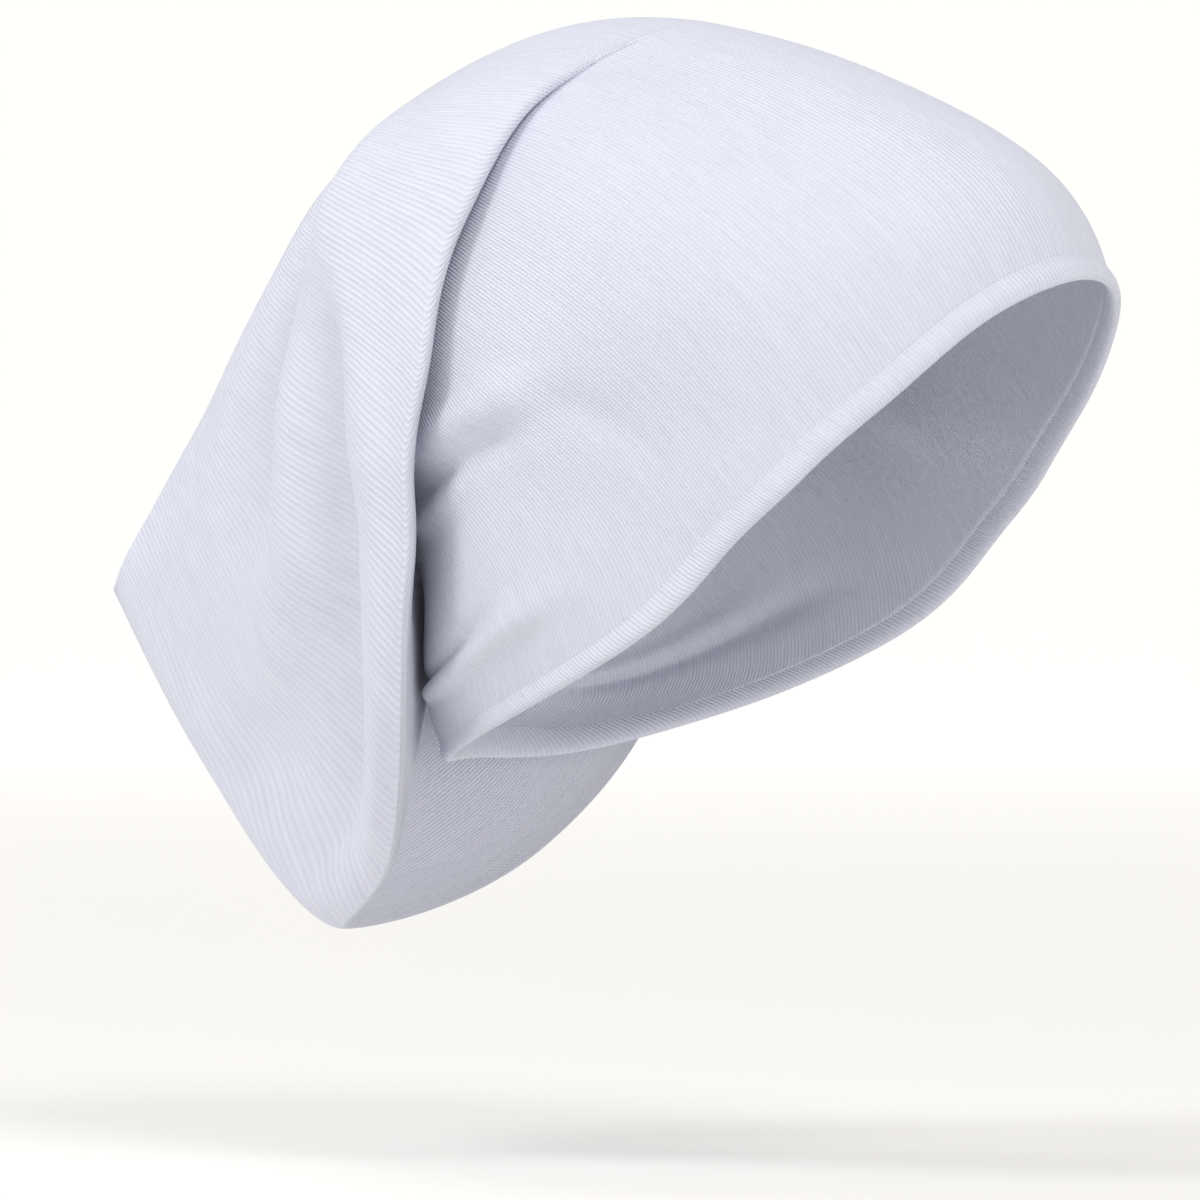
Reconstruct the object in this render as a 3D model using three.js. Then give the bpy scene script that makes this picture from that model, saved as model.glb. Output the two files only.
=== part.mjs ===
// Hijab underscarf cap: a tube of fine ribbed jersey in its worn form.
// The front is taut over the head, a deep pleat on each side lets the slack fall back,
// and the closed end of the tube hangs behind the nape as a flat tail.
// Millimetres, +Z up, face towards -Y. The origin is the crown of the head inside the cap.
import * as THREE from "three";

// driving dimensions
const wall = 1.6;
const headHalfWidth = 77;
const headReach = 104;
const tailReach = 101;
const tailDrop = 66;
const pleatDepth = 50;
const pleatSpacing = 3;
const hemWidth = 9.5;
const hemThickness = 3.8;
const hemClearance = 0.3;
const creaseRelief = 9;

// the mesh
const halfLoopCells = 30;
const tailBunching = 0.1;
const hemSectionSides = 8;
const tightControls = 8;
const pleatControls = 3;
const curtainControls = 9;
const legCells = { tight: 12, valley: 4, back: 3, edge: 4, curtain: 17 };
// where a section's columns of cells change size, past the valley or the pleat's edge, in control points
const valleyStart = -0.5;
const backStart = 1.25;
const edgeStart = 1.75;
const curtainStart = 0.5;
const placeStep = 0.002;

// side outline of the head about its middle: turn is the angle from straight back,
// reach a share of headReach, and width the widest there as a share of headHalfWidth
const headOutline = [
  { turn: -200, reach: 1.04, width: 0.93 },
  { turn: -180, reach: 0.985, width: 0.92 },
  { turn: -150, reach: 1.17, width: 0.93 },
  { turn: -120, reach: 1.28, width: 0.95 },
  { turn: -90, reach: 1.2, width: 0.97 },
  { turn: -65, reach: 1.12, width: 0.98 },
  { turn: -50, reach: 1.07, width: 0.98 },
  { turn: -35, reach: 0.86, width: 0.98 },
  { turn: -17, reach: 0.82, width: 1.0 },
  { turn: -3, reach: 0.85, width: 1.0 },
  { turn: 21, reach: 0.915, width: 1.0 },
  { turn: 45, reach: 0.955, width: 1.0 },
  { turn: 75.5, reach: 0.96, width: 1.0 },
  { turn: 92.5, reach: 0.9, width: 1.0 },
  { turn: 106.3, reach: 0.88, width: 0.99 },
  { turn: 121, reach: 0.89, width: 0.98 },
  { turn: 135.2, reach: 0.945, width: 0.96 },
  { turn: 145.8, reach: 1.0, width: 0.95 },
  { turn: 155.9, reach: 1.015, width: 0.94 },
  { turn: 164.3, reach: 1.0, width: 0.93 },
  { turn: 180, reach: 0.985, width: 0.92 },
  { turn: 210, reach: 1.17, width: 0.93 },
];
const crownTurn = 75.5;

// one row for each place round the half loop, from the forehead and crown (0) to the nape and tail end (1)
// turn is the angle from straight back about the middle of the head, side the angle out to the side
// edgeLift is a share of tailDrop, ridgeLift and bow of tailReach, depth of pleatDepth
// fold says how far the pleat has formed, and square how round the curtain is: 2 is round and 1 is flat
// bowLean is 1 for a bow that is highest halfway, and less for one that is highest nearer the edge
const stations = [
  { around: 0.0, hemTurn: 162.3, hemSide: 0, edgeTurn: 84, edgeSide: 0, edgeLift: 0,
    ridgeTurn: 57, ridgeLift: 0.064, fold: 0, depth: 0.1, square: 2.0, bow: 0.036, bowLean: 1 },
  { around: 0.12, hemTurn: 166, hemSide: 19, edgeTurn: 80.5, edgeSide: 20, edgeLift: 0.03,
    ridgeTurn: 47.5, ridgeLift: 0.09, fold: 0.55, depth: 0.14, square: 2.0, bow: 0.046, bowLean: 1 },
  { around: 0.24, hemTurn: 177, hemSide: 33.5, edgeTurn: 70.5, edgeSide: 33, edgeLift: 0.06,
    ridgeTurn: 38, ridgeLift: 0.172, fold: 1, depth: 0.22, square: 1.9, bow: 0.018, bowLean: 1 },
  { around: 0.38, hemTurn: 195.5, hemSide: 46.5, edgeTurn: 52.5, edgeSide: 50, edgeLift: 0.1,
    ridgeTurn: 27, ridgeLift: 0.28, fold: 1, depth: 0.34, square: 1.65, bow: 0.006, bowLean: 1 },
  { around: 0.52, hemTurn: 224, hemSide: 53, edgeTurn: 13.1, edgeSide: 61, edgeLift: 0.12,
    ridgeTurn: 14.4, ridgeLift: 0.405, fold: 1, depth: 0.54, square: 1.45, bow: 0, bowLean: 1 },
  { around: 0.66, hemTurn: 265.5, hemSide: 48, edgeTurn: -32, edgeSide: 53.2, edgeLift: 0.2,
    ridgeTurn: 0.8, ridgeLift: 0.606, fold: 1, depth: 0.8, square: 1.3, bow: 0.005, bowLean: 1 },
  { around: 0.78, hemTurn: 289, hemSide: 37, edgeTurn: -52, edgeSide: 36, edgeLift: 0.24,
    ridgeTurn: -6.7, ridgeLift: 0.785, fold: 1, depth: 0.9, square: 1.2, bow: 0.012, bowLean: 0.9 },
  { around: 0.9, hemTurn: 304, hemSide: 19.5, edgeTurn: -56, edgeSide: 15.6, edgeLift: 0.45,
    ridgeTurn: -11.7, ridgeLift: 0.94, fold: 1, depth: 1.05, square: 1.15, bow: 0.026, bowLean: 0.7 },
  { around: 1.0, hemTurn: 309.5, hemSide: 0, edgeTurn: -50.3, edgeSide: 0, edgeLift: 0.88,
    ridgeTurn: -13.8, ridgeLift: 0.99, fold: 1, depth: 1.24, square: 1.2, bow: 0.078, bowLean: 0.6 },
];
const oddColumns = ["hemSide", "edgeSide"];

// Hanging folds and pull wrinkles. Each runs round the loop from fromAround to toAround, and start,
// middle and end are how far across the leg it lies there, 0 at the leg's front and 1 at its end.
// height and width are shares of creaseRelief, a height under 0 is a furrow,
// and lean makes the side towards the front steeper, or the far side where it is under 0.
const creases = [
  { leg: "curtain", fromAround: 0.06, toAround: 0.8, start: 0.67, middle: 0.585, end: 0.38,
    height: -1.4, width: 0.95, lean: 0.55 },
  { leg: "curtain", fromAround: 0.17, toAround: 0.95, start: 0.46, middle: 0.38, end: 0.42,
    height: 0.65, width: 1.25, lean: -0.2 },
  { leg: "curtain", fromAround: 0.4, toAround: 0.98, start: 0.41, middle: 0.235, end: 0.21,
    height: -1.0, width: 0.85, lean: 0.5 },
  { leg: "curtain", fromAround: 0.46, toAround: 0.96, start: 0.24, middle: 0.1, end: 0.1,
    height: 0.35, width: 0.8, lean: 0.0 },
  { leg: "curtain", fromAround: 0.7, toAround: 1.0, start: 0.27, middle: 0.36, end: 0.42,
    height: -0.5, width: 1.1, lean: 0.0 },
  { leg: "tight", fromAround: 0.4, toAround: 0.64, start: 0.48, middle: 0.68, end: 0.95,
    height: 0.3, width: 0.7, lean: 0.0 },
  { leg: "tight", fromAround: 0.46, toAround: 0.68, start: 0.5, middle: 0.66, end: 0.9,
    height: -0.25, width: 0.6, lean: 0.0 },
  { leg: "tight", fromAround: 0.52, toAround: 0.72, start: 0.56, middle: 0.7, end: 0.92,
    height: 0.2, width: 0.5, lean: 0.0 },
  { leg: "tight", fromAround: 0.58, toAround: 0.9, start: 0.24, middle: 0.34, end: 0.5,
    height: 0.28, width: 0.8, lean: 0.0 },
  { leg: "tight", fromAround: 0.64, toAround: 0.92, start: 0.35, middle: 0.43, end: 0.62,
    height: -0.25, width: 0.6, lean: 0.0 },
];
const fadeIn = 0.3;
const fadeOut = 0.25;
const farSideRelief = 0.75;
const sidewaysLean = 0.6;

// lengths of the half loop and of a leg, as the creases see them
const halfLoopRun = 3 * headReach;
const legRun = 1.1 * headReach;

const jersey = new THREE.MeshStandardMaterial({ color: 0xd9dbe8, roughness: 0.92, metalness: 0 });
jersey.side = THREE.DoubleSide;

// Cubic through the rows of a table. At the two ends it runs level, or straight on for an odd column.
function columnAt(rows, place, key, at, odd = false) {
  const last = rows.length - 1;
  let i = 0;
  while (i < last - 1 && at >= rows[i + 1][place]) {
    i += 1;
  }
  const slopeBetween = (a) => (rows[a + 1][key] - rows[a][key]) / (rows[a + 1][place] - rows[a][place]);
  const slopeAt = (k) => {
    if (k === 0) {
      return odd ? slopeBetween(0) : 0;
    }
    if (k === last) {
      return odd ? slopeBetween(last - 1) : 0;
    }
    const before = rows[k][place] - rows[k - 1][place];
    const after = rows[k + 1][place] - rows[k][place];
    return (slopeBetween(k - 1) * after + slopeBetween(k) * before) / (before + after);
  };
  const step = rows[i + 1][place] - rows[i][place];
  const t = (at - rows[i][place]) / step;
  const stay = 1 - t;
  return (1 + 2 * t) * stay * stay * rows[i][key] + t * stay * stay * step * slopeAt(i)
    + t * t * (3 - 2 * t) * rows[i + 1][key] - t * t * stay * step * slopeAt(i + 1);
}

const radians = THREE.MathUtils.degToRad;

function outlineReach(turn) {
  return headReach * columnAt(headOutline, "turn", "reach", turn, true);
}

const headMiddle = new THREE.Vector3(
  0,
  -outlineReach(crownTurn) * Math.cos(radians(crownTurn)),
  -outlineReach(crownTurn) * Math.sin(radians(crownTurn)),
);

// how far the head's surface lies from its middle in a direction
function headRadius(direction) {
  const turn = THREE.MathUtils.radToDeg(Math.atan2(direction.z, direction.y));
  const rise = Math.hypot(direction.y, direction.z);
  const halfWidth = headHalfWidth * columnAt(headOutline, "turn", "width", turn, true);
  return 1 / Math.hypot(direction.x / halfWidth, rise / outlineReach(turn));
}

function directionOf(turn, side) {
  const flat = Math.cos(radians(side));
  return new THREE.Vector3(
    -Math.sin(radians(side)),
    flat * Math.cos(radians(turn)),
    flat * Math.sin(radians(turn)),
  );
}

// the point over the head in a direction, lift further out than cloth that lies on it
function overHead(direction, lift) {
  const out = direction.clone().normalize();
  return out.multiplyScalar(headRadius(out) + wall / 2 + lift).add(headMiddle);
}

function dropOnHead(point) {
  return overHead(point.clone().sub(headMiddle), 0);
}

function stationAt(around) {
  const row = {};
  for (const key of Object.keys(stations[0])) {
    row[key] = columnAt(stations, "around", key, around, oddColumns.includes(key));
  }
  return row;
}

function mix(a, b, t) {
  return a.clone().lerp(b, t);
}

// the curtain from the pleat's edge back to the ridge, flatter across the sagittal plane as square falls
function curtainPoint(edge, ridge, row, across) {
  const angle = across * Math.PI / 2;
  const power = 2 / row.square;
  const toEdge = Math.cos(angle) ** power;
  const toRidge = Math.sin(angle) ** power;
  const point = new THREE.Vector3(
    edge.x * toEdge,
    edge.y + (ridge.y - edge.y) * toRidge,
    edge.z + (ridge.z - edge.z) * toRidge,
  );
  const out = point.clone().sub(headMiddle).normalize();
  const fuller = toRidge ** row.bowLean;
  return point.addScaledVector(out, row.bow * tailReach * 4 * fuller * (1 - fuller));
}

// The control points of one section, from the lower edge of the hem over the head to the pleat's valley,
// forward again under the curtain to the pleat's edge, and back along the curtain to the ridge.
function sectionControls(around) {
  const row = stationAt(around);
  const fold = THREE.MathUtils.clamp(row.fold, 0, 1);
  const hem = overHead(directionOf(row.hemTurn, row.hemSide), 0);
  const edge = overHead(directionOf(row.edgeTurn, row.edgeSide), row.edgeLift * tailDrop);
  const ridge = overHead(directionOf(row.ridgeTurn, 0), row.ridgeLift * tailReach);
  const curtain = [];
  for (let k = 0; k < curtainControls; k += 1) {
    curtain.push(curtainPoint(edge, ridge, row, k / (curtainControls - 1)));
  }
  const backward = curtain[2].clone().sub(edge).normalize();
  const behind = edge.clone().addScaledVector(backward, row.depth * pleatDepth);
  const ahead = (steps) => dropOnHead(edge.clone().addScaledVector(backward, -steps * pleatSpacing));
  const valley = mix(ahead(pleatControls), dropOnHead(behind), fold);

  const controls = [];
  for (let k = 0; k < tightControls - 1; k += 1) {
    controls.push(dropOnHead(mix(hem, valley, k / (tightControls - 1))));
  }
  controls.push(valley);
  const offHead = valley.clone().sub(headMiddle).normalize();
  const sideways = edge.clone().sub(headMiddle).normalize();
  sideways.x -= Math.min(1, Math.abs(edge.x) / pleatSpacing) * sidewaysLean;
  sideways.normalize();
  const lifted = valley.clone().addScaledVector(offHead, pleatSpacing);
  const tucked = edge.clone().addScaledVector(sideways, -pleatSpacing);
  controls.push(mix(ahead(pleatControls - 1), lifted, fold));
  controls.push(mix(ahead(pleatControls - 2), tucked, fold));
  controls.push(...curtain);
  return controls;
}

// a uniform cubic B-spline along its control points, mirrored past the ridge
function splinePoint(controls, at) {
  const last = controls.length - 1;
  const i = Math.min(Math.floor(at), last - 1);
  const t = at - i;
  const weights = [
    (1 - t) ** 3 / 6,
    (3 * t ** 3 - 6 * t ** 2 + 4) / 6,
    (-3 * t ** 3 + 3 * t ** 2 + 3 * t + 1) / 6,
    t ** 3 / 6,
  ];
  const point = new THREE.Vector3();
  weights.forEach((weight, k) => {
    const n = i - 1 + k;
    let control = controls[n];
    if (n < 0) {
      control = controls[0].clone().multiplyScalar(2).sub(controls[1]);
    } else if (n > last) {
      control = controls[last - 1].clone();
      control.x = -control.x;
    }
    point.addScaledVector(control, weight);
  });
  return point;
}

// how far the creases lift the cloth at a place on a leg
function creaseHeight(leg, around, across) {
  let height = 0;
  for (const row of creases) {
    const length = row.toAround - row.fromAround;
    const t = (around - row.fromAround) / length;
    if (row.leg !== leg || t < 0 || t > 1) {
      continue;
    }
    const ends = row.start * (1 - t) * (1 - 2 * t) + row.end * t * (2 * t - 1);
    const line = ends + row.middle * 4 * t * (1 - t);
    const turn = row.start * (4 * t - 3) + row.middle * (4 - 8 * t) + row.end * (4 * t - 1);
    const slope = turn * legRun / (length * halfLoopRun);
    let aside = (across - line) * legRun / Math.hypot(1, slope) / (row.width * creaseRelief);
    aside /= aside < 0 ? 1 - row.lean : 1 + row.lean;
    const fade = THREE.MathUtils.smoothstep(t, 0, fadeIn) * THREE.MathUtils.smoothstep(1 - t, 0, fadeOut);
    height += row.height * creaseRelief * fade * Math.exp(-aside * aside);
  }
  return height;
}

// the section's places, counted in control points: the pleat's valley, its edge and the ridge
const valleyPlace = tightControls - 1;
const edgePlace = valleyPlace + pleatControls;
const ridgePlace = edgePlace + curtainControls - 1;

// where the mesh's columns lie along a section
function columnPlaces() {
  const ends = [
    valleyPlace + valleyStart,
    valleyPlace + backStart,
    valleyPlace + edgeStart,
    edgePlace + curtainStart,
    ridgePlace,
  ];
  const places = [0];
  Object.values(legCells).forEach((cells, n) => {
    const start = places[places.length - 1];
    for (let k = 1; k <= cells; k += 1) {
      places.push(start + (ends[n] - start) * k / cells);
    }
  });
  return places;
}

// the place on a section that lies a length of cloth from its start
function placeAfter(controls, length) {
  let place = 0;
  let run = 0;
  let before = splinePoint(controls, 0);
  while (run < length) {
    place += placeStep;
    const here = splinePoint(controls, place);
    run += here.distanceTo(before);
    before = here;
  }
  return place;
}

// The two sides of the loop: -1 is the wearer's right, which the table describes, and 1 its mirror image.
// The sections lie closer together towards the tail.
function loopPlace(j) {
  const side = j <= halfLoopCells ? -1 : 1;
  const share = (side < 0 ? j : 2 * halfLoopCells - j) / halfLoopCells;
  return { side, around: share + tailBunching * Math.sin(Math.PI * share) };
}

// the middle of the smooth cloth along one section of the body, and how far the creases lift it there
function clothRow(around, side) {
  const controls = sectionControls(around);
  const start = placeAfter(controls, hemWidth + hemClearance);
  const relief = side < 0 ? 1 : farSideRelief;
  return columnPlaces().map((place) => {
    const point = splinePoint(controls, place + start * Math.max(0, 1 - place / (valleyPlace - 1)));
    let height = 0;
    if (place < valleyPlace) {
      height = creaseHeight("tight", around, place / valleyPlace);
    } else if (place > edgePlace) {
      height = creaseHeight("curtain", around, (place - edgePlace) / (ridgePlace - edgePlace));
    }
    point.x *= -side;
    return { point, height: height * relief };
  });
}

// the points, each moved along the sheet's normal by its own distance
function movedOff(points, faces, distanceAt) {
  const normals = meshOf(points, faces).getAttribute("normal");
  return points.map((point, k) => (
    new THREE.Vector3().fromBufferAttribute(normals, k).multiplyScalar(distanceAt(k)).add(point)
  ));
}

// The body: two skins over a grid of sections, joined along the hem. Its two sides meet on the sagittal
// plane, which closes the tube along the ridge and the tail end.
function bodyGeometry() {
  const loop = 2 * halfLoopCells;
  const smooth = [];
  const heights = [];
  const indexOf = [];
  for (let j = 0; j < loop; j += 1) {
    const { side, around } = loopPlace(j);
    const row = clothRow(around, side);
    const ridge = row.length - 1;
    indexOf.push(row.map(({ point, height }, i) => {
      if (i === ridge && side > 0) {
        return indexOf[loop - j][ridge];
      }
      if (i === ridge || j % halfLoopCells === 0) {
        point.x = 0;
      }
      heights.push(height);
      return smooth.push(point) - 1;
    }));
  }
  const faces = [];
  const lip = [];
  const count = smooth.length;
  for (let j = 0; j < loop; j += 1) {
    const here = indexOf[j];
    const next = indexOf[(j + 1) % loop];
    for (let i = 0; i < here.length - 1; i += 1) {
      faces.push([here[i], here[i + 1], next[i + 1]]);
      faces.push([here[i], next[i + 1], next[i]]);
    }
    lip.push([here[0], next[0], next[0] + count]);
    lip.push([here[0], next[0] + count, here[0] + count]);
  }
  const middle = movedOff(smooth, faces, (k) => heights[k]);
  const outer = movedOff(middle, faces, () => wall / 2);
  const inner = movedOff(middle, faces, () => -wall / 2);
  const inside = faces.map(([a, b, c]) => [a + count, c + count, b + count]);
  return meshOf([...outer, ...inner], [...faces, ...inside, ...lip]);
}

// the turned hem: an oval roll round the face and nape, lying on the head just ahead of the body's edge
function hemGeometry() {
  const loop = 2 * halfLoopCells;
  const points = [];
  const faces = [];
  for (let j = 0; j < loop; j += 1) {
    const { side, around } = loopPlace(j);
    const controls = sectionControls(around);
    const front = splinePoint(controls, 0);
    const back = splinePoint(controls, placeAfter(controls, hemWidth));
    const across = back.clone().sub(front).normalize();
    const centre = mix(front, back, 0.5);
    const out = centre.clone().sub(headMiddle).normalize();
    out.addScaledVector(across, -out.dot(across)).normalize();
    centre.addScaledVector(out, (hemThickness - wall) / 2);
    for (let k = 0; k < hemSectionSides; k += 1) {
      const angle = 2 * Math.PI * k / hemSectionSides;
      const point = centre.clone();
      point.addScaledVector(across, Math.cos(angle) * hemWidth / 2);
      point.addScaledVector(out, Math.sin(angle) * hemThickness / 2);
      point.x *= -side;
      points.push(point);
      const here = j * hemSectionSides;
      const next = (j + 1) % loop * hemSectionSides;
      const turned = (k + 1) % hemSectionSides;
      faces.push([here + k, next + turned, here + turned]);
      faces.push([here + k, next + k, next + turned]);
    }
  }
  return meshOf(points, faces);
}

function meshOf(points, faces) {
  const geometry = new THREE.BufferGeometry();
  geometry.setFromPoints(points);
  geometry.setIndex(faces.flat());
  geometry.computeVertexNormals();
  return geometry;
}

const part = new THREE.Group();

const body = new THREE.Mesh(bodyGeometry(), jersey);
body.name = "cap_body";
part.add(body);

const hem = new THREE.Mesh(hemGeometry(), jersey);
hem.name = "face_hem";
part.add(hem);

export default part;
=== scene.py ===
# Looks of the hijab underscarf cap: the worn jersey cloth with its folds, and the turned hem roll.
# Metres, +Z up, face towards -Y. The origin is the crown of the head inside the cap.
import math

import bpy
import numpy as np
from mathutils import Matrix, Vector


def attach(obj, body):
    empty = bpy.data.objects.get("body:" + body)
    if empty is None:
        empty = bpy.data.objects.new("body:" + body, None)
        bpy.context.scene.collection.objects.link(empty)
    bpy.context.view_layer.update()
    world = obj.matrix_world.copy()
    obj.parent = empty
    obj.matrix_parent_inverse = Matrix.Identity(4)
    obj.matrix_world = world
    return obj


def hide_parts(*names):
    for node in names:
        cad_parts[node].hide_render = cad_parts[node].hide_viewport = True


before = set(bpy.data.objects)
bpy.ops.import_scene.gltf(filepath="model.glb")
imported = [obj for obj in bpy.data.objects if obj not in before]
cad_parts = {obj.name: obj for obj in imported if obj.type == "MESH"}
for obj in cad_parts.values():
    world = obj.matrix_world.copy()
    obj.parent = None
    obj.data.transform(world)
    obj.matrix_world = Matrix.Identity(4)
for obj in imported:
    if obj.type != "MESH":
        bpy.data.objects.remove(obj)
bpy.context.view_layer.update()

# driving dimensions, those of the part
WALL = 0.0016
HEAD_HALF_WIDTH = 0.077
HEAD_REACH = 0.104
TAIL_REACH = 0.101
TAIL_DROP = 0.066
PLEAT_DEPTH = 0.050
PLEAT_SPACING = 0.003
HEM_WIDTH = 0.0095
HEM_THICKNESS = 0.0038
CREASE_RELIEF = 0.009

# where the body starts under the hem, as a share of the hem's width, and how the hem's section is rounded:
# it thins by HEM_THINNING towards the body, from HEM_FULL over HEM_THINNING_RUN of its width
BODY_START = 0.6
HEM_THINNING = 0.6
HEM_FULL = 0.1
HEM_THINNING_RUN = 0.8
HEM_ROUNDNESS = 0.8

# the mesh
HALF_LOOP_CELLS = 150
TAIL_BUNCHING = 0.1
HEM_SECTION_SIDES = 28
TIGHT_CONTROLS = 8
PLEAT_CONTROLS = 3
CURTAIN_CONTROLS = 9
BACKWARD_CONTROL = 2
LEG_CELLS = {"tight": 52, "valley": 10, "back": 8, "edge": 12, "curtain": 48}

# where the stretches between the legs begin, counted in control points from the valley or, for the
# curtain, from the pleat's edge
VALLEY_START = -0.5
BACK_START = 1.25
EDGE_START = 1.75
CURTAIN_START = 0.5

# how far along a section, in control points, and in how many steps a length of cloth is looked for
SEARCHED_PLACES = 3
SEARCH_STEPS = 600

# side outline of the head about its middle: turn is the angle from straight back,
# reach a share of HEAD_REACH, and width the widest there as a share of HEAD_HALF_WIDTH
OUTLINE_COLUMNS = ("turn", "reach", "width")
HEAD_OUTLINE = (
    (-200, 1.04, 0.93),
    (-180, 0.985, 0.92),
    (-150, 1.17, 0.93),
    (-120, 1.28, 0.95),
    (-90, 1.2, 0.97),
    (-65, 1.12, 0.98),
    (-50, 1.07, 0.98),
    (-35, 0.86, 0.98),
    (-17, 0.82, 1.0),
    (-3, 0.85, 1.0),
    (21, 0.915, 1.0),
    (45, 0.955, 1.0),
    (75.5, 0.96, 1.0),
    (92.5, 0.9, 1.0),
    (106.3, 0.88, 0.99),
    (121, 0.89, 0.98),
    (135.2, 0.945, 0.96),
    (145.8, 1.0, 0.95),
    (155.9, 1.015, 0.94),
    (164.3, 1.0, 0.93),
    (180, 0.985, 0.92),
    (210, 1.17, 0.93),
)
CROWN_TURN = 75.5

# one row for each place round the half loop, from the forehead and crown (0) to the nape and tail end (1)
# turn is the angle from straight back about the middle of the head, side the angle out to the side
# edge_lift is a share of TAIL_DROP, ridge_lift and bow of TAIL_REACH, depth of PLEAT_DEPTH
# fold says how far the pleat has formed, and square how round the curtain is: 2 is round and 1 is flat
# bow_lean is 1 for a bow that is highest halfway, and less for one that is highest nearer the edge
STATION_COLUMNS = ("around", "hem_turn", "hem_side", "edge_turn", "edge_side", "edge_lift",
                   "ridge_turn", "ridge_lift", "fold", "depth", "square", "bow", "bow_lean")
STATIONS = (
    (0.0, 162.3, 0, 84, 0, 0, 57, 0.064, 0, 0.1, 2.0, 0.036, 1),
    (0.12, 166, 19, 80.5, 20, 0.03, 47.5, 0.09, 0.55, 0.14, 2.0, 0.046, 1),
    (0.24, 177, 33.5, 70.5, 33, 0.06, 38, 0.172, 1, 0.22, 1.9, 0.018, 1),
    (0.38, 195.5, 46.5, 52.5, 50, 0.1, 27, 0.28, 1, 0.34, 1.65, 0.006, 1),
    (0.52, 224, 53, 13.1, 61, 0.12, 14.4, 0.405, 1, 0.54, 1.45, 0, 1),
    (0.66, 265.5, 48, -32, 53.2, 0.2, 0.8, 0.606, 1, 0.8, 1.3, 0.005, 1),
    (0.78, 289, 37, -52, 36, 0.24, -6.7, 0.785, 1, 0.9, 1.2, 0.012, 0.9),
    (0.9, 304, 19.5, -56, 15.6, 0.45, -11.7, 0.94, 1, 1.05, 1.15, 0.026, 0.7),
    (1.0, 309.5, 0, -50.3, 0, 0.88, -13.8, 0.99, 1, 1.24, 1.2, 0.078, 0.6),
)
ODD_COLUMNS = ("hem_side", "edge_side")

# Hanging folds and pull wrinkles. Each runs round the loop from from_around to to_around, and start,
# middle and end are how far across the leg it lies there, 0 at the leg's front and 1 at its end.
# height and width are shares of CREASE_RELIEF, a height under 0 is a furrow,
# and lean makes the side towards the front steeper, or the far side where it is under 0.
CREASE_COLUMNS = ("leg", "from_around", "to_around", "start", "middle", "end", "height", "width", "lean")
CREASES = (
    ("curtain", 0.06, 0.80, 0.67, 0.585, 0.38, -1.4, 0.95, 0.55),
    ("curtain", 0.17, 0.95, 0.46, 0.38, 0.42, 0.65, 1.25, -0.2),
    ("curtain", 0.40, 0.98, 0.41, 0.235, 0.21, -1.0, 0.85, 0.5),
    ("curtain", 0.46, 0.96, 0.24, 0.10, 0.10, 0.35, 0.8, 0.0),
    ("curtain", 0.70, 1.0, 0.27, 0.36, 0.42, -0.5, 1.1, 0.0),
    ("tight", 0.40, 0.64, 0.48, 0.68, 0.95, 0.3, 0.7, 0.0),
    ("tight", 0.46, 0.68, 0.50, 0.66, 0.90, -0.25, 0.6, 0.0),
    ("tight", 0.52, 0.72, 0.56, 0.70, 0.92, 0.2, 0.5, 0.0),
    ("tight", 0.58, 0.90, 0.24, 0.34, 0.50, 0.28, 0.8, 0.0),
    ("tight", 0.64, 0.92, 0.35, 0.43, 0.62, -0.25, 0.6, 0.0),
)
FADE_IN = 0.3
FADE_OUT = 0.25
FAR_SIDE_RELIEF = 0.75
SIDEWAYS_LEAN = 0.6

# lengths of the half loop and of a leg, as the creases see them
HALF_LOOP_RUN = 3 * HEAD_REACH
LEG_RUN = 1.1 * HEAD_REACH

# the knit: the hem's half loop as knitted, and the distances between wales and between stitches
HALF_LOOP_LENGTH = 0.27
WALE_PITCH = 0.00108
STITCH_PITCH = 0.0008

# which wale passes the hem and the pleat's edge at each place, and how far the wales lean from there
# over the tight leg and the curtain, all in shares of the half loop
WALE_COLUMNS = ("around", "hem", "tight_lean", "edge", "curtain_lean")
WALE_ROWS = (
    (0.0, 0.0, 0.0, 0.0, 0.0),
    (0.15, 0.15, 0.03, 0.15, 0.0),
    (0.3, 0.28, 0.11, 0.27, 0.03),
    (0.5, 0.46, 0.23, 0.4, 0.09),
    (0.75, 0.7, 0.28, 0.56, 0.13),
    (1.0, 0.95, 0.28, 0.73, 0.07),
)

# over which share of the leg the lean eases out
TIGHT_EASE = (0.25, 0.75)
CURTAIN_EASE = (0.6, 1.0)

# the shares of the wales, the stitches, the fuzz, the slubs and the broad patches in the knit's relief and tone,
# and the darkest and lightest tone as shares of its tint: in the tone the wales' share is painted shade,
# darker down each rib's valley, and the slubs', fuzz's and patches' shares are tone that differs at random
RELIEF_DEPTH = 0.00012
RELIEF = {"wale": 0.8, "stitch": 0.16, "fuzz": 0.4, "slub": 0.5}
TONE_AND_RIB_SHADE = {"wale": 0.09, "slub": 0.3, "fuzz": 0.15, "patch": 0.12}
DARK_TONE = (0.72, 0.73, 0.77)
LIGHT_TONE = (1.18, 1.17, 1.12)


def column_at(columns, rows, key, at, odd=False):
    """Cubic through a column of a table. At the two ends it runs level, or straight on for an odd column."""
    places = np.array([row[0] for row in rows], float)
    values = np.array([row[columns.index(key)] for row in rows], float)
    steps = np.diff(places)
    between = np.diff(values) / steps
    slopes = np.zeros(len(rows))
    slopes[1:-1] = (between[:-1] * steps[1:] + between[1:] * steps[:-1]) / (steps[:-1] + steps[1:])
    if odd:
        slopes[0] = between[0]
        slopes[-1] = between[-1]
    i = np.clip(np.searchsorted(places, at, side="right") - 1, 0, len(rows) - 2)
    t = (at - places[i]) / steps[i]
    stay = 1 - t
    return ((1 + 2 * t) * stay ** 2 * values[i] + t * stay ** 2 * steps[i] * slopes[i]
            + t ** 2 * (3 - 2 * t) * values[i + 1] - t ** 2 * stay * steps[i] * slopes[i + 1])


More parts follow.
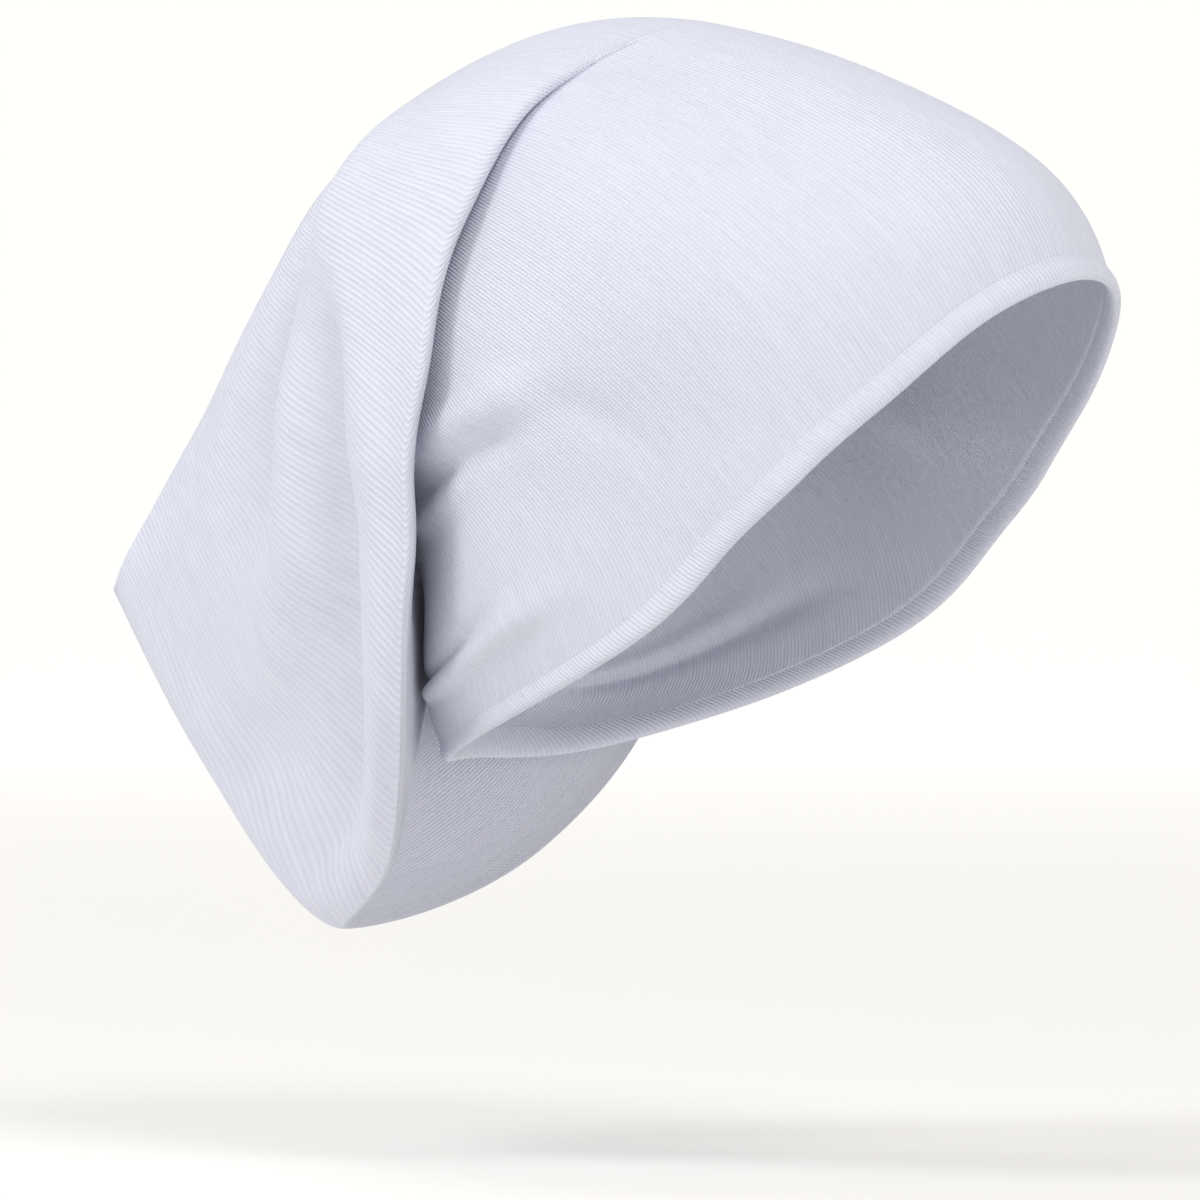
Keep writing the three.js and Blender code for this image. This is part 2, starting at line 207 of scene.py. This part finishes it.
def unit(vectors):
    return vectors / np.linalg.norm(vectors, axis=-1, keepdims=True)


def outline_reach(turn):
    return HEAD_REACH * column_at(OUTLINE_COLUMNS, HEAD_OUTLINE, "reach", turn, True)


crown = math.radians(CROWN_TURN)
HEAD_MIDDLE = -outline_reach(CROWN_TURN) * np.array([0, math.cos(crown), math.sin(crown)])


def head_radius(direction):
    """How far the head's surface lies from its middle in a direction."""
    turn = np.degrees(np.arctan2(direction[..., 2], direction[..., 1]))
    rise = np.hypot(direction[..., 1], direction[..., 2])
    half_width = HEAD_HALF_WIDTH * column_at(OUTLINE_COLUMNS, HEAD_OUTLINE, "width", turn, True)
    return 1 / np.hypot(direction[..., 0] / half_width, rise / outline_reach(turn))


def direction_of(turn, side):
    turn, side = np.radians(turn), np.radians(side)
    return np.stack([-np.sin(side), np.cos(side) * np.cos(turn), np.cos(side) * np.sin(turn)], axis=-1)


def over_head(direction, lift=0.0):
    """The point over the head in a direction, lift further out than cloth that lies on it."""
    out = unit(direction)
    return out * (head_radius(out) + WALL / 2 + lift)[..., None] + HEAD_MIDDLE


def drop_on_head(point):
    return over_head(point - HEAD_MIDDLE)


def curtain_point(edge, ridge, row, across):
    """The curtain from the pleat's edge back to the ridge, flatter as square falls."""
    angle = across * math.pi / 2
    power = 2 / row["square"]
    to_edge = math.cos(angle) ** power
    to_ridge = math.sin(angle) ** power
    point = edge + (ridge - edge) * to_ridge[:, None]
    point[:, 0] = edge[:, 0] * to_edge
    fuller = to_ridge ** row["bow_lean"]
    bow = row["bow"] * TAIL_REACH * 4 * fuller * (1 - fuller)
    return point + unit(point - HEAD_MIDDLE) * bow[:, None]


def section_controls(around):
    """Control points of each section, from the lower edge of the hem over the head to the pleat's valley,
    forward again under the curtain to the pleat's edge, and back along the curtain to the ridge."""
    row = {key: column_at(STATION_COLUMNS, STATIONS, key, around, key in ODD_COLUMNS) for key in STATION_COLUMNS}
    fold = np.clip(row["fold"], 0, 1)[:, None]
    hem = over_head(direction_of(row["hem_turn"], row["hem_side"]))
    edge = over_head(direction_of(row["edge_turn"], row["edge_side"]), row["edge_lift"] * TAIL_DROP)
    ridge = over_head(direction_of(row["ridge_turn"], 0 * around), row["ridge_lift"] * TAIL_REACH)
    curtain = [curtain_point(edge, ridge, row, k / (CURTAIN_CONTROLS - 1)) for k in range(CURTAIN_CONTROLS)]
    backward = unit(curtain[BACKWARD_CONTROL] - edge)
    behind = edge + backward * row["depth"][:, None] * PLEAT_DEPTH

    def ahead(steps):
        return drop_on_head(edge - backward * steps * PLEAT_SPACING)

    def mix(a, b, t):
        return a + (b - a) * t

    valley = mix(ahead(3), drop_on_head(behind), fold)
    tight = [drop_on_head(mix(hem, valley, k / (TIGHT_CONTROLS - 1))) for k in range(TIGHT_CONTROLS - 1)]
    off_head = unit(valley - HEAD_MIDDLE)
    sideways = unit(edge - HEAD_MIDDLE)
    sideways[:, 0] -= np.minimum(1, np.abs(edge[:, 0]) / PLEAT_SPACING) * SIDEWAYS_LEAN
    lifted = valley + off_head * PLEAT_SPACING
    tucked = edge - unit(sideways) * PLEAT_SPACING
    pleat = [valley, mix(ahead(2), lifted, fold), mix(ahead(1), tucked, fold)]
    return np.stack(tight + pleat + curtain, axis=1)


def spline_points(controls, at):
    """A uniform cubic B-spline along each section's control points, mirrored past the ridge."""
    first = 2 * controls[:, :1] - controls[:, 1:2]
    mirrored = controls[:, -2:-1] * np.array([-1, 1, 1])
    padded = np.concatenate([first, controls, mirrored], axis=1)
    i = np.minimum(np.floor(at).astype(int), controls.shape[1] - 2)
    t = at - i
    weights = np.stack([(1 - t) ** 3, 3 * t ** 3 - 6 * t ** 2 + 4, -3 * t ** 3 + 3 * t ** 2 + 3 * t + 1, t ** 3])
    section = np.arange(len(controls))[:, None]
    return sum(weights[k][..., None] / 6 * padded[section, i + k] for k in range(4))


def smoothstep(t):
    t = np.clip(t, 0, 1)
    return t * t * (3 - 2 * t)


def crease_height(leg, around, across):
    """How far the creases lift the cloth at places on a leg."""
    height = np.zeros(np.broadcast(around, across).shape)
    for crease in CREASES:
        row = dict(zip(CREASE_COLUMNS, crease))
        if row["leg"] != leg:
            continue
        length = row["to_around"] - row["from_around"]
        t = (around - row["from_around"]) / length
        line = (row["start"] * (1 - t) * (1 - 2 * t) + row["middle"] * 4 * t * (1 - t)
                + row["end"] * t * (2 * t - 1))
        turn = (row["start"] * (4 * t - 3) + row["middle"] * (4 - 8 * t) + row["end"] * (4 * t - 1)) / length
        slope = turn * LEG_RUN / HALF_LOOP_RUN
        aside = (across - line) * LEG_RUN / np.hypot(1, slope) / (row["width"] * CREASE_RELIEF)
        aside = aside / np.where(aside < 0, 1 - row["lean"], 1 + row["lean"])
        fade = smoothstep(t / FADE_IN) * smoothstep((1 - t) / FADE_OUT)
        height += row["height"] * CREASE_RELIEF * fade * np.exp(-aside ** 2)
    return height


VALLEY_PLACE = TIGHT_CONTROLS - 1
EDGE_PLACE = VALLEY_PLACE + PLEAT_CONTROLS
RIDGE_PLACE = EDGE_PLACE + CURTAIN_CONTROLS - 1


def column_places():
    """Where the mesh's columns lie along a section, counted in control points."""
    starts = (VALLEY_PLACE + VALLEY_START, VALLEY_PLACE + BACK_START, VALLEY_PLACE + EDGE_START)
    ends = (*starts, EDGE_PLACE + CURTAIN_START, RIDGE_PLACE)
    places = [0.0]
    for cells, end in zip(LEG_CELLS.values(), ends):
        places.extend(np.linspace(places[-1], end, cells + 1)[1:])
    return np.array(places)


def place_after(controls, length):
    """The place on each section that lies a length of cloth from its start."""
    places = np.linspace(0, SEARCHED_PLACES, SEARCH_STEPS + 1)
    points = spline_points(controls, np.tile(places, (len(controls), 1)))
    run = np.linalg.norm(np.diff(points, axis=1), axis=2).cumsum(axis=1)
    return np.array([np.interp(length, row, places[1:]) for row in run])


def loop_places():
    """The two sides of the loop: -1 is the wearer's right, and 1 its mirror image."""
    j = np.arange(2 * HALF_LOOP_CELLS)
    side = np.where(j <= HALF_LOOP_CELLS, -1, 1)
    share = np.where(side < 0, j, 2 * HALF_LOOP_CELLS - j) / HALF_LOOP_CELLS
    return side, share + TAIL_BUNCHING * np.sin(math.pi * share)


def cloth_rows(around, side):
    """The middle of the smooth cloth along each section of the body, how far the creases lift it there,
    and where its wales run."""
    controls = section_controls(around)
    places = column_places()
    start = place_after(controls, HEM_WIDTH * BODY_START)
    at = places + start[:, None] * np.maximum(0, 1 - places / (VALLEY_PLACE - 1))
    points = spline_points(controls, at)
    tight = crease_height("tight", around[:, None], places / VALLEY_PLACE)
    curtain = crease_height("curtain", around[:, None], (places - EDGE_PLACE) / (RIDGE_PLACE - EDGE_PLACE))
    height = np.where(places < VALLEY_PLACE, tight, np.where(places > EDGE_PLACE, curtain, 0))
    height = height * np.where(side < 0, 1, FAR_SIDE_RELIEF)[:, None]
    points[..., 0] *= -side[:, None]
    return points, height, wale_place(around[:, None], at)


def eased(share, full, end):
    """Grows like share up to full, then ever slower, and stands still from end on."""
    t = np.clip((share - full) / (end - full), 0, 1)
    return np.minimum(share, full) + (end - full) * (t - t ** 3 + t ** 4 / 2)


def wale_place(around, at):
    """Which wale passes a place on a section: the knit leans as it runs from the hem to the ridge."""
    row = {key: column_at(WALE_COLUMNS, WALE_ROWS, key, around, True) for key in WALE_COLUMNS}
    tight = row["hem"] + row["tight_lean"] * eased(np.clip(at / VALLEY_PLACE, 0, 1), *TIGHT_EASE)
    across = np.clip((at - EDGE_PLACE) / (RIDGE_PLACE - EDGE_PLACE), 0, 1)
    curtain = row["edge"] + row["curtain_lean"] * eased(across, *CURTAIN_EASE)
    turned_under = smoothstep((at - VALLEY_PLACE) / (EDGE_PLACE - VALLEY_PLACE))
    return tight + (curtain - tight) * turned_under


def mesh_object(name, points, faces, corner_uvs):
    """A smooth-shaded mesh with one UV layer, in metres of cloth round the loop and along the wales."""
    mesh = bpy.data.meshes.new(name)
    mesh.from_pydata(points.tolist(), [], faces.tolist())
    layer = mesh.uv_layers.new(name="cloth")
    layer.uv.foreach_set("vector", np.asarray(corner_uvs, np.float32).ravel())
    mesh.polygons.foreach_set("use_smooth", np.ones(len(mesh.polygons), bool))
    mesh.update()
    piece = bpy.data.objects.new(name, mesh)
    bpy.context.scene.collection.objects.link(piece)
    return piece


def vertex_normals(points, faces):
    corners = points[faces]
    normals = np.cross(corners[:, 2] - corners[:, 0], corners[:, 3] - corners[:, 1])
    total = np.zeros_like(points)
    for k in range(4):
        np.add.at(total, faces[:, k], normals)
    return unit(total)


def corner_uvs(here, after):
    """The four corners' values of every cell, from the values at its near and far section."""
    return np.stack([here[:, :-1], here[:, 1:], after[:, 1:], after[:, :-1]], axis=-1)


def cloth_body():
    """Two skins over a grid of sections, joined along the hem. The two sides meet on the sagittal plane."""
    side, around = loop_places()
    rows, height, wale = cloth_rows(around, side)
    loop, columns = rows.shape[:2]
    rows[[0, HALF_LOOP_CELLS], :, 0] = 0
    rows[:, -1, 0] = 0
    index = np.arange(loop * columns).reshape(loop, columns)
    index[HALF_LOOP_CELLS + 1:, -1] = index[HALF_LOOP_CELLS - 1:0:-1, -1]
    faces = corner_uvs(index, np.roll(index, -1, axis=0)).reshape(-1, 4)
    run = np.linalg.norm(np.diff(rows, axis=1), axis=2).cumsum(axis=1)
    run = np.concatenate([np.zeros((loop, 1)), run], axis=1)
    u = corner_uvs(wale, np.roll(wale, -1, axis=0)) * HALF_LOOP_LENGTH
    v = corner_uvs(run, np.roll(run, -1, axis=0))
    uvs = np.stack([u, v], axis=-1).reshape(-1, 4, 2)

    used, compact = np.unique(faces, return_inverse=True)
    faces = compact.reshape(faces.shape)
    middle = rows.reshape(-1, 3)[used]
    middle += vertex_normals(middle, faces) * height.reshape(-1, 1)[used]
    normals = vertex_normals(middle, faces)
    count = len(middle)
    points = np.concatenate([middle + normals * WALL / 2, middle - normals * WALL / 2])
    inner = faces[:, ::-1] + count
    first = faces.reshape(loop, -1, 4)[:, 0]
    lip = np.stack([first[:, 0], first[:, 3], first[:, 3] + count, first[:, 0] + count], axis=-1)
    lip_uvs = uvs.reshape(loop, -1, 4, 2)[:, 0][:, [0, 3, 3, 0]]
    all_uvs = np.concatenate([uvs, uvs[:, ::-1], lip_uvs])
    return mesh_object("cap_body_cloth", points, np.concatenate([faces, inner, lip]), all_uvs)


def hem_roll():
    """The turned hem: a soft roll, fuller at its lower edge and flat where it runs into the body."""
    side, around = loop_places()
    controls = section_controls(around)
    front = spline_points(controls, np.zeros((len(controls), 1)))[:, 0]
    back = spline_points(controls, place_after(controls, HEM_WIDTH)[:, None])[:, 0]
    across = unit(back - front)
    out = unit((front + back) / 2 - HEAD_MIDDLE)
    out = unit(out - across * (out * across).sum(axis=1, keepdims=True))
    angle = 2 * math.pi * np.arange(HEM_SECTION_SIDES) / HEM_SECTION_SIDES
    along = 0.5 + 0.5 * np.cos(angle)
    fullness = 1 - HEM_THINNING * smoothstep((along - HEM_FULL) / HEM_THINNING_RUN)
    half = HEM_THICKNESS / 2 * fullness
    lift = -WALL / 2 + half * (1 + np.sign(np.sin(angle)) * np.abs(np.sin(angle)) ** HEM_ROUNDNESS)
    points = front[:, None] + (back - front)[:, None] * along[None, :, None] + out[:, None] * lift[None, :, None]
    points[..., 0] *= -side[:, None]
    loop = len(points)
    index = np.arange(loop * HEM_SECTION_SIDES).reshape(loop, -1)
    after, turned = np.roll(index, -1, axis=0), np.roll(index, -1, axis=1)
    faces = np.stack([index, after, np.roll(after, -1, axis=1), turned], axis=-1).reshape(-1, 4)
    u_here = np.where(side < 0, around, 2 - around) * HALF_LOOP_LENGTH
    u_after = np.append(u_here[1:], 2 * HALF_LOOP_LENGTH)
    girth = 2 * (HEM_WIDTH + HEM_THICKNESS) / HEM_SECTION_SIDES
    v_here = np.arange(HEM_SECTION_SIDES) * girth
    shape = (loop, HEM_SECTION_SIDES)
    u = np.stack([np.broadcast_to(u_here[:, None], shape), np.broadcast_to(u_after[:, None], shape)], axis=-1)
    u = u[..., [0, 1, 1, 0]]
    v = np.stack([np.broadcast_to(v_here, shape), np.broadcast_to(v_here + girth, shape)], axis=-1)
    v = v[..., [0, 0, 1, 1]]
    uvs = np.stack([u, v], axis=-1).reshape(-1, 4, 2)
    return mesh_object("face_hem_roll", points.reshape(-1, 3), faces, uvs)


class Nodes:
    """A short way to write a material's node tree."""

    def __init__(self, tree):
        self.tree = tree

    def add(self, kind, inputs=None, **settings):
        node = self.tree.nodes.new(kind)
        for key, value in settings.items():
            setattr(node, key, value)
        for key, value in (inputs or {}).items():
            if isinstance(value, bpy.types.NodeSocket):
                self.tree.links.new(value, node.inputs[key])
            else:
                node.inputs[key].default_value = value
        return node

    def math(self, operation, a, b=0.0, c=0.0):
        return self.add("ShaderNodeMath", {0: a, 1: b, 2: c}, operation=operation).outputs[0]


def jersey_material(name, tint):
    """Matte fine-rib jersey: wales along the cloth, stitches along each wale, slubs and soft fuzz."""
    material = bpy.data.materials.new(name)
    material.use_nodes = True
    tree = material.node_tree
    tree.nodes.clear()
    nodes = Nodes(tree)
    cloth = nodes.add("ShaderNodeUVMap", uv_map="cloth").outputs[0]
    place = nodes.add("ShaderNodeTexCoord").outputs["Object"]
    split = nodes.add("ShaderNodeSeparateXYZ", {0: cloth})
    u, v = split.outputs[0], split.outputs[1]
    drift = nodes.add("ShaderNodeTexNoise", {"Vector": place, "Scale": 180.0, "Detail": 2.0}).outputs["Fac"]
    wale_turn = nodes.math("MULTIPLY_ADD", u, 2 * math.pi / WALE_PITCH, nodes.math("MULTIPLY", drift, 1.2))
    wale = nodes.math("COSINE", wale_turn)
    stitch_turn = nodes.math("MULTIPLY_ADD", v, 2 * math.pi / STITCH_PITCH, nodes.math("MULTIPLY", wale, 0.9))
    stitch = nodes.math("COSINE", stitch_turn)
    fuzz = nodes.add("ShaderNodeTexNoise", {"Vector": place, "Scale": 1400.0, "Detail": 3.0}).outputs["Fac"]
    stretched = nodes.add("ShaderNodeMapping", {0: cloth, "Scale": (1.0, 0.09, 1.0)}).outputs[0]
    slub = nodes.add("ShaderNodeTexNoise", {"Vector": stretched, "Scale": 700.0, "Detail": 2.0}).outputs["Fac"]
    height = nodes.math("MULTIPLY_ADD", wale, RELIEF["wale"], nodes.math("MULTIPLY", stitch, RELIEF["stitch"]))
    height = nodes.math("MULTIPLY_ADD", fuzz, RELIEF["fuzz"], height)
    height = nodes.math("MULTIPLY_ADD", slub, RELIEF["slub"], height)
    bump = nodes.add("ShaderNodeBump", {"Height": height, "Distance": RELIEF_DEPTH, "Strength": 1.0})
    patch = nodes.add("ShaderNodeTexNoise", {"Vector": place, "Scale": 22.0, "Detail": 3.0}).outputs["Fac"]
    # painted shade: the wales darken the colour down each rib's valley, where the relief is lowest; the slubs,
    # fuzz and patches add tone that differs at random
    tone_and_rib_shade = nodes.math("MULTIPLY_ADD", wale, TONE_AND_RIB_SHADE["wale"], 0.5)
    for part, noise in (("slub", slub), ("fuzz", fuzz), ("patch", patch)):
        tone_and_rib_shade = nodes.math("MULTIPLY_ADD", nodes.math("SUBTRACT", noise, 0.5), TONE_AND_RIB_SHADE[part], tone_and_rib_shade)
    dark = (*(a * b for a, b in zip(tint, DARK_TONE)), 1)
    light = (*(min(1, a * b) for a, b in zip(tint, LIGHT_TONE)), 1)
    colour = nodes.add("ShaderNodeMix", {0: tone_and_rib_shade, "A": dark, "B": light}, data_type="RGBA")
    return material, nodes, colour, bump


def jersey(name, tint):
    material, nodes, colour, bump = jersey_material(name, tint)
    shader = nodes.add("ShaderNodeBsdfPrincipled", {
        "Base Color": colour.outputs["Result"],
        "Normal": bump.outputs[0],
        "Roughness": 0.92,
        "Specular IOR Level": 0.2,
        "Sheen Weight": 0.12,
        "Sheen Roughness": 0.5,
    })
    nodes.add("ShaderNodeOutputMaterial", {"Surface": shader.outputs[0]})
    return material


def look_at(thing, target):
    thing.rotation_euler = (Vector(target) - thing.location).to_track_quat("-Z", "Y").to_euler()


def area_light(name, place, target, size, power, colour):
    light = bpy.data.lights.new(name, "AREA")
    light.shape = "DISK"
    light.size = size
    light.energy = power
    light.color = colour
    lamp = bpy.data.objects.new(name, light)
    bpy.context.scene.collection.objects.link(lamp)
    lamp.location = place
    look_at(lamp, target)


# the camera of the photograph: azimuth from straight ahead, elevation, distance and what it looks at
CAMERA_AZIMUTH = math.radians(-60)
CAMERA_ELEVATION = math.radians(1)
CAMERA_DISTANCE = 2.5
CAMERA_TARGET = Vector((-0.005, 0.00866, -0.1435))
FRAME_WIDTH = 0.3
SENSOR_WIDTH = 36

camera_data = bpy.data.cameras.new("camera")
camera_data.sensor_width = SENSOR_WIDTH
camera_data.lens = SENSOR_WIDTH * CAMERA_DISTANCE / FRAME_WIDTH
camera_data.clip_end = 50
camera = bpy.data.objects.new("camera", camera_data)
bpy.context.scene.collection.objects.link(camera)
backward = Vector((
    math.sin(CAMERA_AZIMUTH) * math.cos(CAMERA_ELEVATION),
    -math.cos(CAMERA_AZIMUTH) * math.cos(CAMERA_ELEVATION),
    math.sin(CAMERA_ELEVATION),
))
camera.location = CAMERA_TARGET + backward * CAMERA_DISTANCE
look_at(camera, CAMERA_TARGET)
bpy.context.scene.camera = camera

# the floor: a pale paper sweep, flat under the cap and rising far behind it
FLOOR_HEIGHT = -0.285
FLOOR_RADIUS = 4.0
SWEEP_RADIUS = 3.0
SWEEP_SEGMENTS = 96
SWEEP_RINGS = 24


def paper_sweep():
    rings = [(0.05, 0.0), (FLOOR_RADIUS, 0.0)]
    for k in range(1, SWEEP_RINGS + 1):
        angle = math.pi / 2 * k / SWEEP_RINGS
        rings.append((FLOOR_RADIUS + SWEEP_RADIUS * math.sin(angle), SWEEP_RADIUS * (1 - math.cos(angle))))
    turns = 2 * math.pi * np.arange(SWEEP_SEGMENTS) / SWEEP_SEGMENTS
    points = [(r * math.cos(t), r * math.sin(t), FLOOR_HEIGHT + h) for r, h in rings for t in turns]
    faces = []
    for ring in range(len(rings) - 1):
        for k in range(SWEEP_SEGMENTS):
            after = (k + 1) % SWEEP_SEGMENTS
            low, high = ring * SWEEP_SEGMENTS, (ring + 1) * SWEEP_SEGMENTS
            faces.append((low + after, low + k, high + k, high + after))
    faces.append(tuple(range(SWEEP_SEGMENTS)))
    mesh = bpy.data.meshes.new("floor")
    mesh.from_pydata(points, [], faces)
    mesh.polygons.foreach_set("use_smooth", np.ones(len(mesh.polygons), bool))
    piece = bpy.data.objects.new("floor", mesh)
    bpy.context.scene.collection.objects.link(piece)
    return piece


floor = paper_sweep()
paper = bpy.data.materials.new("floor_paper")
paper.use_nodes = True
paper_shader = paper.node_tree.nodes["Principled BSDF"]
paper_shader.inputs["Base Color"].default_value = (0.6, 0.59, 0.575, 1)
paper_shader.inputs["Roughness"].default_value = 0.9
paper_shader.inputs["Emission Color"].default_value = (1.0, 0.985, 0.965, 1)
paper_nodes = Nodes(paper.node_tree)
paper_place = paper_nodes.add("ShaderNodeTexCoord").outputs["Object"]
paper_away = paper_nodes.add("ShaderNodeVectorMath", {0: paper_place}, operation="LENGTH").outputs["Value"]
paper_glow = paper_nodes.add("ShaderNodeMapRange", {
    "Value": paper_away,
    "From Min": 0.1,
    "From Max": 3.0,
    "To Min": 0.32,
    "To Max": 0.66,
}).outputs[0]
paper.node_tree.links.new(paper_glow, paper_shader.inputs["Emission Strength"])
floor.data.materials.append(paper)

# soft studio light: a bright room, a broad light in front and weaker ones beside the tail and overhead
world = bpy.data.worlds.new("studio")
bpy.context.scene.world = world
world.use_nodes = True
world.node_tree.nodes["Background"].inputs["Color"].default_value = (1.0, 0.985, 0.965, 1)
world.node_tree.nodes["Background"].inputs["Strength"].default_value = 0.37
area_light("key_light", (-0.85, -1.17, 1.45), (0, 0, -0.1), 0.8, 17.5, (1.0, 0.99, 0.98))
area_light("tail_light", (-1.25, 0.9, 1.4), (0, 0, -0.1), 0.8, 17, (0.98, 0.99, 1.0))
area_light("top_light", (0.1, 0.63, 1.9), (0, 0, -0.1), 0.8, 6, (0.98, 0.99, 1.0))
bpy.context.scene.view_settings.view_transform = "Standard"

CLOTH_TINT = (0.68, 0.7, 0.81)
body_jersey = jersey("ribbed_jersey", CLOTH_TINT)
hem_jersey = jersey("hem_jersey", CLOTH_TINT)

body = cloth_body()
body.data.materials.append(body_jersey)
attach(body, "root")
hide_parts("cap_body")

hem = hem_roll()
hem.data.materials.append(hem_jersey)
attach(hem, "root")
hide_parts("face_hem")
